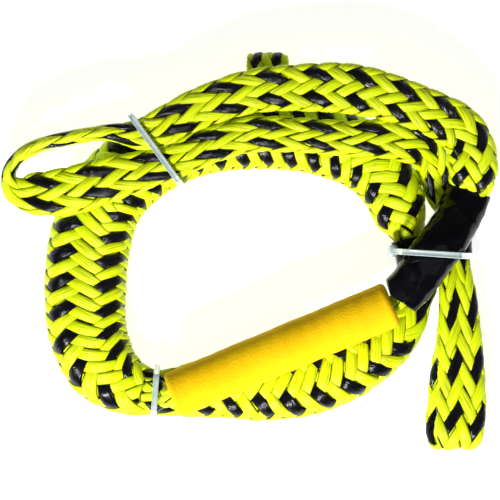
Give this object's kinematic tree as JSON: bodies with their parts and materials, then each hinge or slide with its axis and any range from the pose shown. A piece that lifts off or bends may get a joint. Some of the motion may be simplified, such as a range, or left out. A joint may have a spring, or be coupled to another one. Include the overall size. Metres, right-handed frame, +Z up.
{
  "type": "tow rope handle",
  "caption": "Coiled and tied bungee tow rope: a bunched elastic ring, a long eye, a short eye, black-covered joins and a foam grip that turns on its rope.",
  "frame": {"origin": "middle of the footprint, on the surface that the coil lies on", "axes": "+X along the long eye and the grip's longer run, +Y towards the folded tail, +Z up"},
  "size_m": [0.2684, 0.2172, 0.0517],
  "materials": {
    "braid": "neon yellow-green braid with black carriers",
    "elastic": "natural rubber cord",
    "cover": "glossy black shrink tube and tape",
    "foam": "matte yellow-orange closed-cell foam",
    "liner": "plain tube",
    "thread": "waxed whipping thread",
    "tie": "clear natural nylon"
  },
  "bodies": {
    "root": {"bungee_sheath": "braid", "elastic_core_inner": "elastic", "elastic_core_middle": "elastic", "elastic_core_outer": "elastic", "core_seizing_north": "thread", "core_seizing_south": "thread", "long_eye_rope": "braid", "eye_cover": "cover", "ring_cover": "cover", "short_eye_tail_upper": "braid", "short_eye_tail_lower": "braid", "grip_rope": "braid", "splice_whipping": "thread", "tail_fold": "braid", "cable_tie_top": "tie", "cable_tie_low": "tie", "cable_tie_right": "tie"},
    "grip": {"grip_foam": "foam", "grip_liner": "liner"},
    "short_eye": {"short_eye_rope": "braid"}
  },
  "joints": [
    {"name": "grip_turn", "type": "hinge", "parent": "root", "child": "grip", "pos_m": [0.01726, -0.05291, 0.0361], "axis": [0.9215, 0.3853, 0.0483], "continuous": true},
    {"name": "short_eye_swing", "type": "hinge", "parent": "root", "child": "short_eye", "pos_m": [0.11176, -0.01387, 0.01], "axis": [0, 0, 1], "range_deg": [0, 20]}
  ]
}
